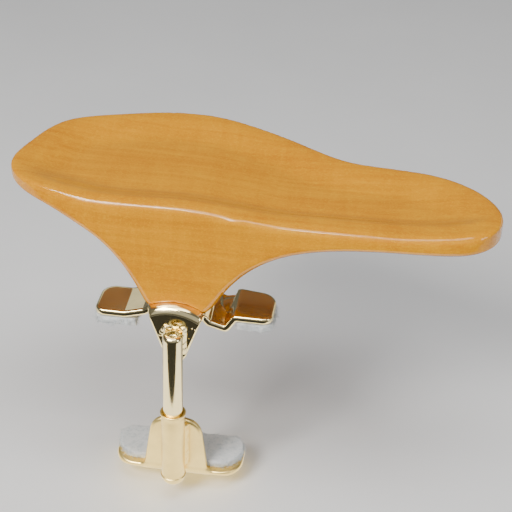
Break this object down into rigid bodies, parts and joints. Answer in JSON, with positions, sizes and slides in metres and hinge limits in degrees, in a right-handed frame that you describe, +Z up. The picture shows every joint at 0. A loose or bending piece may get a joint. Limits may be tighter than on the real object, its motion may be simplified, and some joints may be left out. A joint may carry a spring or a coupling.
{
  "type": "violin chin rest",
  "caption": "Carved wooden chin rest plate on a tilting seat, held to a violin's edge by felt-padded metal brackets and one telescopic screw clamp.",
  "frame": {"origin": "on the top of the violin at its edge outline, in the plane of the clamp screw", "axes": "+X right along the plate as seen from the end button, +Y towards the middle of the violin, +Z up"},
  "size_m": [0.1206, 0.0613, 0.0799],
  "materials": {
    "boxwood": "honey-yellow boxwood under a satin lacquer",
    "polished_gold": "pale gold plating, mirror polished",
    "satin_gold": "pale gold plating, soft satin",
    "insert_brass": "plain turned brass",
    "screw_steel": "nickel plated steel",
    "felt": "off-white wool felt with a frayed edge"
  },
  "bodies": {
    "upper_frame": {"upper_bracket": "polished_gold", "upper_felt_left": "felt", "upper_felt_right": "felt", "guide_tube": "polished_gold", "guide_braze": "polished_gold", "thrust_washer": "screw_steel"},
    "lower_jaw": {"clamp_sleeve": "satin_gold", "sleeve_end_nut": "satin_gold", "sleeve_braze": "satin_gold", "lower_bracket": "satin_gold", "lower_felt": "felt"},
    "screw": {"clamp_screw": "screw_steel"},
    "chin_rest": {"chin_plate": "boxwood", "insert_front": "insert_brass", "insert_rear": "insert_brass", "tilt_clamp_bar": "satin_gold", "lock_washer_front": "screw_steel", "lock_washer_rear": "screw_steel"},
    "front_tilt_screw": {"tilt_screw_front": "screw_steel"},
    "rear_tilt_screw": {"tilt_screw_rear": "screw_steel"}
  },
  "joints": [
    {"name": "jaw_slide", "type": "slide", "parent": "upper_frame", "child": "lower_jaw", "axis": [0, 0, 1], "range_m": [-0.004, 0.0025]},
    {"name": "screw_turn", "type": "hinge", "parent": "upper_frame", "child": "screw", "pos_m": [0, -0.0054, 0], "axis": [0, 0, -1], "range_deg": [-2880, 1800]},
    {"name": "plate_tilt", "type": "hinge", "parent": "upper_frame", "child": "chin_rest", "pos_m": [-0.0008, 0.0055, -0.0038], "axis": [0, 1, 0], "range_deg": [-4, 6]},
    {"name": "front_screw_turn", "type": "hinge", "parent": "chin_rest", "child": "front_tilt_screw", "pos_m": [-0.0008, 0.003, 0.004], "axis": [0, 0, 1], "range_deg": [-180, 0]},
    {"name": "rear_screw_turn", "type": "hinge", "parent": "chin_rest", "child": "rear_tilt_screw", "pos_m": [-0.0008, 0.0082, 0.004], "axis": [0, 0, 1], "range_deg": [-180, 0]}
  ],
  "couplings": [
    {"joint": "screw_turn", "follows": "jaw_slide", "rad_per_m": 12566}
  ]
}
